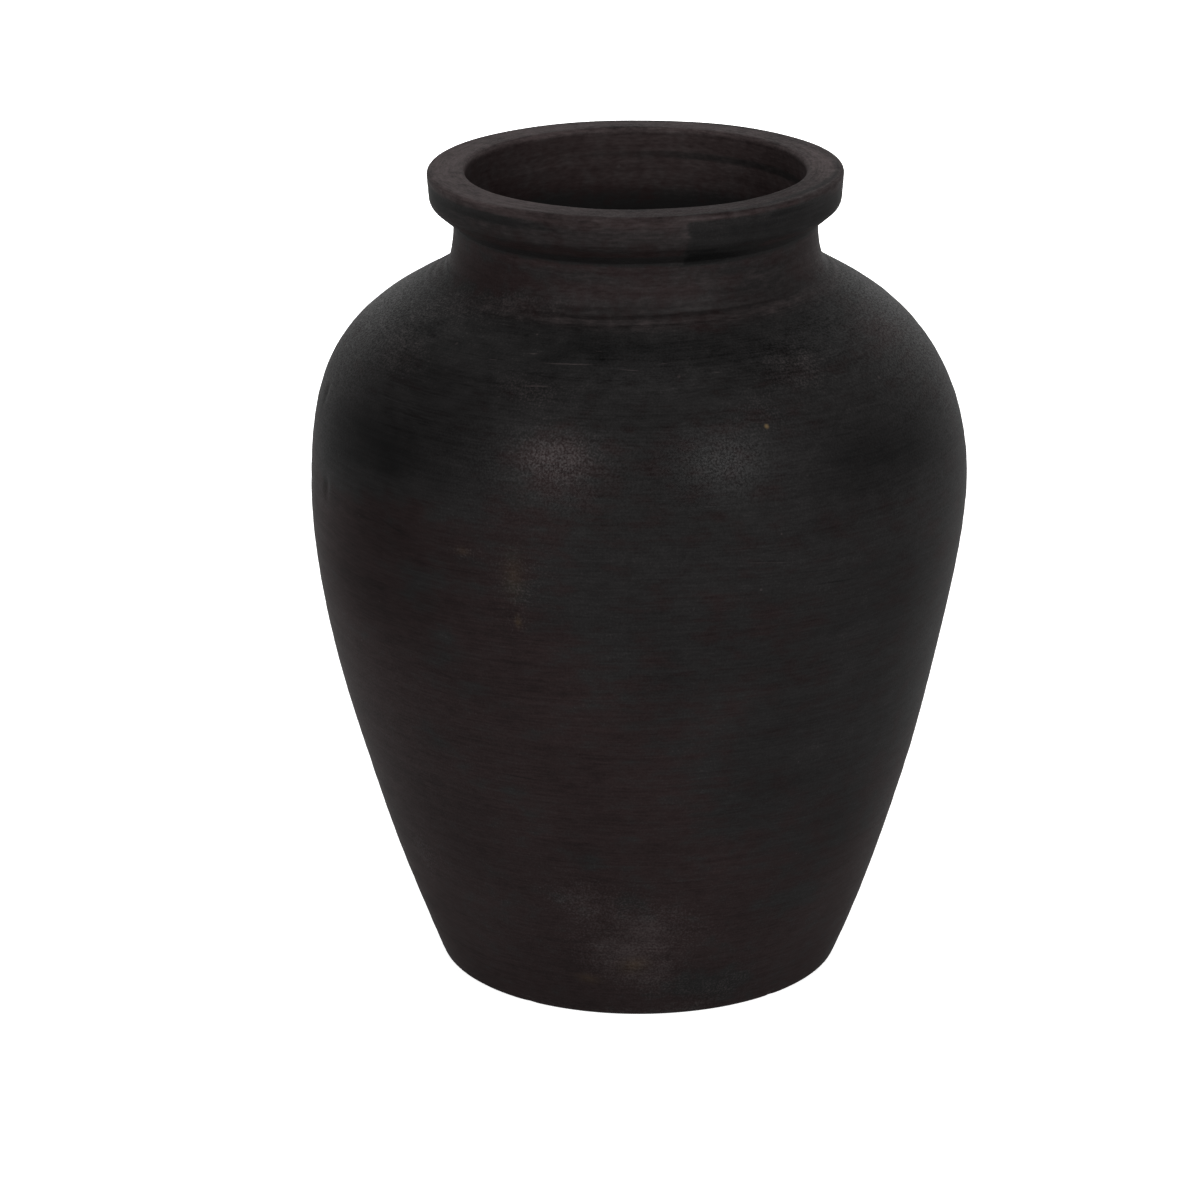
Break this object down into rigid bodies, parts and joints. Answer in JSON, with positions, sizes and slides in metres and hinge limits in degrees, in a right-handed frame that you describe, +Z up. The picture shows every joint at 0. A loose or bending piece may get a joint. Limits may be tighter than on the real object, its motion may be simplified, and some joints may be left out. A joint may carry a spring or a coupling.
{
  "type": "jug vase",
  "caption": "Broad-shouldered terracotta vase with a tapered lower body on a flat foot, a short hollowed neck and a thick rolled rim, in matt black-brown slip, for stems or as an ornament.",
  "frame": {"origin": "centre of the foot, on the surface that the vase stands on", "axes": "+Z up along the vase's axis, from the foot to the mouth; X and Y are any two square directions across it"},
  "size_m": [0.2032, 0.2032, 0.254],
  "materials": {
    "dark_slip": "matt black-brown slip, brushed on in rings and rubbed",
    "fired_clay": "unslipped dark terracotta, wiped smooth"
  },
  "bodies": {
    "root": {"floor_slab": "dark_slip", "corner_coil": "fired_clay", "lower_body": "dark_slip", "shoulder": "dark_slip", "neck_collar": "dark_slip", "rim_ring": "dark_slip"}
  },
  "joints": []
}
